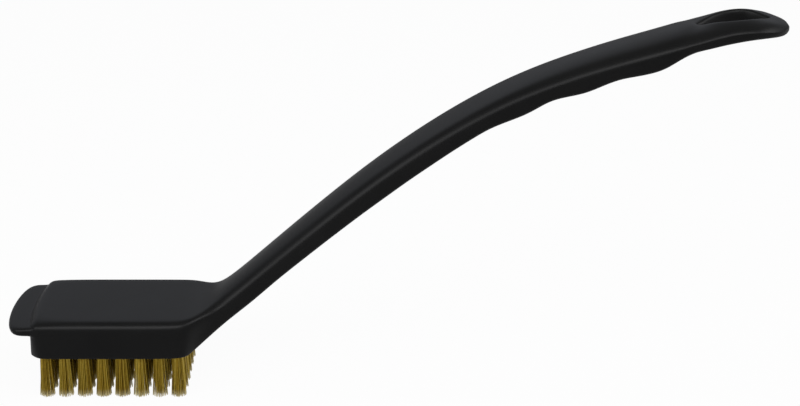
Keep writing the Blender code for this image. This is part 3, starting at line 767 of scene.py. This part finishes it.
def draw_wires(name, centre, angle, chance):
    """One tuft's wires, as round lines turned into a mesh, with a tone for each wire."""
    turn = Matrix.Rotation(angle, 3, "Z")
    line = bpy.data.curves.new(name, "CURVE")
    line.dimensions = "3D"
    line.bevel_depth = WIRE_RADIUS
    line.bevel_resolution = 1
    line.use_fill_caps = True
    wires, painted_sheen = [], []
    for row, layers in WIRES_IN_ROWS:
        for layer in range(layers):
            for side in (-1, 1):
                wires.append(bent_wire(row, layer, side, chance))
                # Some outer wires are picked for the painted sheen, a painted reflection of the white
                # surroundings
                painted_sheen.append(layer >= SHEEN_LAYER and chance.random() < SHEEN_SHARE)
    for places in wires:
        spline = line.splines.new("POLY")
        spline.points.add(len(places) - 1)
        for number, (point, place) in enumerate(zip(spline.points, places)):
            point.co = (*(centre + turn @ place), 1.0)
            point.radius = CUT_TAPER if number in (0, len(places) - 1) else 1.0
    item = bpy.data.objects.new(name, line)
    bpy.context.scene.collection.objects.link(item)
    deselect_all()
    item.select_set(True)
    bpy.context.view_layer.objects.active = item
    bpy.ops.object.convert(target="MESH")
    mesh = item.data
    tones = mesh.attributes.new("wire_tone", "FLOAT", "POINT")
    verts_each = len(mesh.vertices) // len(wires)
    for number, has_sheen in enumerate(painted_sheen):
        tone = SHEEN_TONE if has_sheen else chance.uniform(0.0, HIGHEST_TONE)
        for k in range(number * verts_each, (number + 1) * verts_each):
            tones.data[k].value = tone
    bpy.ops.object.shade_smooth_by_angle(angle=WIRE_EDGE_ANGLE)
    return item


def staple_plate():
    """The flat staple, a cut of flat wire with its edges rolled round."""
    deselect_all()
    bpy.ops.mesh.primitive_cube_add(size=1, enter_editmode=True)
    bpy.ops.transform.resize(value=(STAPLE_THICKNESS, STAPLE_LENGTH, STAPLE_HEIGHT))
    bpy.ops.transform.translate(value=(0.0, 0.0, STAPLE_TOP_Z - STAPLE_HEIGHT / 2))
    bpy.ops.mesh.bevel(offset=STAPLE_BEVEL, segments=2, affect="EDGES")
    bpy.ops.object.mode_set(mode="OBJECT")
    return bpy.context.object


# The brass: drawn wire, tarnished brown in patches, with bright cut ends. A wire with the painted sheen
# is painted bright over its lower half, as a painted reflection of the white surroundings. Each zone's
# bounds are heights over the bristle tips, and it fades out between them.
STAIN_STOPS = (
    (0.1, (0.18, 0.114, 0.014)),
    (0.4, (0.32, 0.215, 0.026)),
    (0.7, (0.45, 0.33, 0.055)),
)
TONE_STAIN, MOTTLE_STAIN, MOTTLE_SCALE = 0.6, 0.4, 900.0
BRIGHT_BRASS = (0.88, 0.85, 0.64, 1.0)
SHEEN_ZONE, SHEEN_BRIGHTNESS = (0.004, 0.010), 0.95
CUT_ZONE, CUT_BRIGHTNESS = (0.0004, 0.0031), 0.43
BRASS_ROUGHNESS, TONE_ROUGHNESS = 0.30, 0.12


def brass():
    made, tree, shader = new_finish("brass_wire")
    shader.inputs["Metallic"].default_value = 1.0
    tone = node(tree, "ShaderNodeAttribute", {"attribute_name": "wire_tone"})[2]
    place = object_place(tree)
    height = node(tree, "ShaderNodeSeparateXYZ", None, {"Vector": place})[2]
    mottle = noise(tree, place, MOTTLE_SCALE)
    stain = ramp(tree, STAIN_STOPS, tone * TONE_STAIN + mottle * MOTTLE_STAIN)

    def zone(bounds):
        """1 below the zone's first height, and 0 above its second."""
        low, high = bounds
        heights = {"Value": height, "From Min": low, "From Max": high, "To Min": 1.0, "To Max": 0.0}
        return node(tree, "ShaderNodeMapRange", {"interpolation_type": "SMOOTHSTEP"}, heights)[0]

    # Painted sheen: wires with the top tone are painted bright over their lower half, in place of a
    # reflection
    painted_sheen = tone.math("GREATER_THAN", tone, SHEEN_LIMIT) * zone(SHEEN_ZONE) * SHEEN_BRIGHTNESS
    bright = painted_sheen.math("MAXIMUM", painted_sheen, zone(CUT_ZONE) * CUT_BRIGHTNESS)
    blend = {"Factor": bright, "A": stain, "B": BRIGHT_BRASS}
    colour = node(tree, "ShaderNodeMix", {"data_type": "RGBA"}, blend)[2]
    tree.links.new(colour.socket, shader.inputs["Base Color"])
    rough = BRASS_ROUGHNESS + tone * TONE_ROUGHNESS
    tree.links.new(rough.socket, shader.inputs["Roughness"])
    return made


brass_finish = brass()
plate = staple_plate()
chance = random.Random(TUFT_SEED)
for row in range(TUFT_ROWS):
    for column in range(TUFT_COLUMNS):
        centre = FIRST_TUFT + Vector((COLUMN_PITCH * column, ROW_PITCH * row, 0.0))
        angle = chance.uniform(-TUFT_TURN, TUFT_TURN)
        tuft = draw_wires(f"wires_r{row + 1}_c{column + 1}", centre, angle, chance)
        staple = bpy.data.objects.new("staple", plate.data.copy())
        bpy.context.scene.collection.objects.link(staple)
        staple.location = centre
        staple.rotation_euler.z = angle
        staple.select_set(True)
        bpy.ops.object.join()
        tuft.data.materials.append(brass_finish)
        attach(tuft, "root")
        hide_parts(f"tuft_r{row + 1}_c{column + 1}")

bpy.data.objects.remove(plate, do_unlink=True)

# The camera stands where the photograph was taken from, with its lens.
CAMERA_PLACE = (0.00345, -0.65493, 0.30402)
CAMERA_TILT = math.radians(70)
LENS_MM = 90
camera_data = bpy.data.cameras.new("camera")
camera_data.lens = LENS_MM
camera_data.clip_start, camera_data.clip_end = 0.01, 50
camera = bpy.data.objects.new("camera", camera_data)
camera.location = CAMERA_PLACE
camera.rotation_euler = (CAMERA_TILT, 0.0, 0.0)
bpy.context.scene.collection.objects.link(camera)
bpy.context.scene.camera = camera
bpy.context.scene.view_settings.view_transform = "Standard"

# The floor. It shows white, more faintly in what the brush reflects, and keeps the brush's shadow.
# From below it is clear, so that the bristles can be seen.
FLOOR_SIZE = 24
FLOOR_SHADE = (0.42, 0.42, 0.42, 1.0)
FLOOR_ROUGHNESS = 0.9
FLOOR_GLOW = 0.95
REFLECTED_GLOW_SHARE = 0.3
deselect_all()
bpy.ops.mesh.primitive_plane_add(size=FLOOR_SIZE)
floor = bpy.context.object
floor.name = "floor"


def white_floor():
    made, tree, shader = new_finish("white_floor")
    shader.inputs["Base Color"].default_value = FLOOR_SHADE
    shader.inputs["Roughness"].default_value = FLOOR_ROUGHNESS
    shader.inputs["Specular IOR Level"].default_value = 0.0
    paths = node(tree, "ShaderNodeLightPath")
    camera_ray, glossy_ray, transmission_ray = paths[0], paths[3], paths[6]
    seen = camera_ray.math("MAXIMUM", camera_ray, glossy_ray * REFLECTED_GLOW_SHARE)
    seen = seen.math("MAXIMUM", seen, transmission_ray)
    white = node(tree, "ShaderNodeEmission", None, {"Color": (1.0, 1.0, 1.0, 1.0), "Strength": 1.0})[0]
    shaded = Signal(tree, shader.outputs[0])
    upper = node(tree, "ShaderNodeMixShader", None, {0: seen * FLOOR_GLOW, 1: shaded, 2: white})[0]
    from_below = node(tree, "ShaderNodeNewGeometry")[6]
    clear = node(tree, "ShaderNodeBsdfTransparent")[0]
    one_sided = node(tree, "ShaderNodeMixShader", None, {0: from_below, 1: upper, 2: clear})[0]
    tree.links.new(one_sided.socket, tree.nodes["Material Output"].inputs["Surface"])
    return made


floor.data.materials.append(white_floor())

# The studio's walls, from the height of the brush up to the ceiling, by the sine of the angle at which
# they are seen. A pale band low on the walls gives the top of the block its cool sheen.
WALL_STOPS = (
    (0.00, (0.10, 0.10, 0.10)),
    (0.12, (0.27, 0.27, 0.28)),
    (0.23, (0.42, 0.43, 0.47)),
    (0.34, (0.90, 0.93, 1.00)),
    (0.46, (0.56, 0.58, 0.64)),
    (0.65, (0.46, 0.47, 0.49)),
    (1.00, (0.66, 0.66, 0.66)),
)
world = bpy.data.worlds.new("studio")
world.use_nodes = True
bpy.context.scene.world = world
tree = world.node_tree
direction = node(tree, "ShaderNodeTexCoord")[0]
up = node(tree, "ShaderNodeSeparateXYZ", None, {"Vector": direction})[2]
walls = ramp(tree, WALL_STOPS, up)
tree.links.new(walls.socket, tree.nodes["Background"].inputs["Color"])

# Three softboxes, each with its azimuth and elevation in degrees, its width and its watts. Azimuth 0
# is the front, and 90 the right.
SOFTBOXES = (
    ("front_softbox", 0, 38, 2.2, 6),
    ("left_softbox", -50, 28, 1.0, 2.3),
    ("right_softbox", 72, 36, 1.6, 4),
)
SOFTBOX_DISTANCE, SOFTBOX_HEIGHT = 1.6, 0.9
SOFTBOX_SPREAD = math.radians(60)


def softbox(name, azimuth, elevation, width, watts):
    """An area lamp that faces the brush."""
    lamp = bpy.data.lights.new(name, "AREA")
    lamp.shape = "RECTANGLE"
    lamp.size, lamp.size_y = width, SOFTBOX_HEIGHT
    lamp.energy = watts
    lamp.spread = SOFTBOX_SPREAD
    item = bpy.data.objects.new(name, lamp)
    a, e = math.radians(azimuth), math.radians(elevation)
    back = Vector((math.sin(a) * math.cos(e), -math.cos(a) * math.cos(e), math.sin(e)))
    item.location = back * SOFTBOX_DISTANCE
    item.rotation_euler = back.to_track_quat("Z", "Y").to_euler()
    item.visible_camera = False
    bpy.context.scene.collection.objects.link(item)


for values in SOFTBOXES:
    softbox(*values)
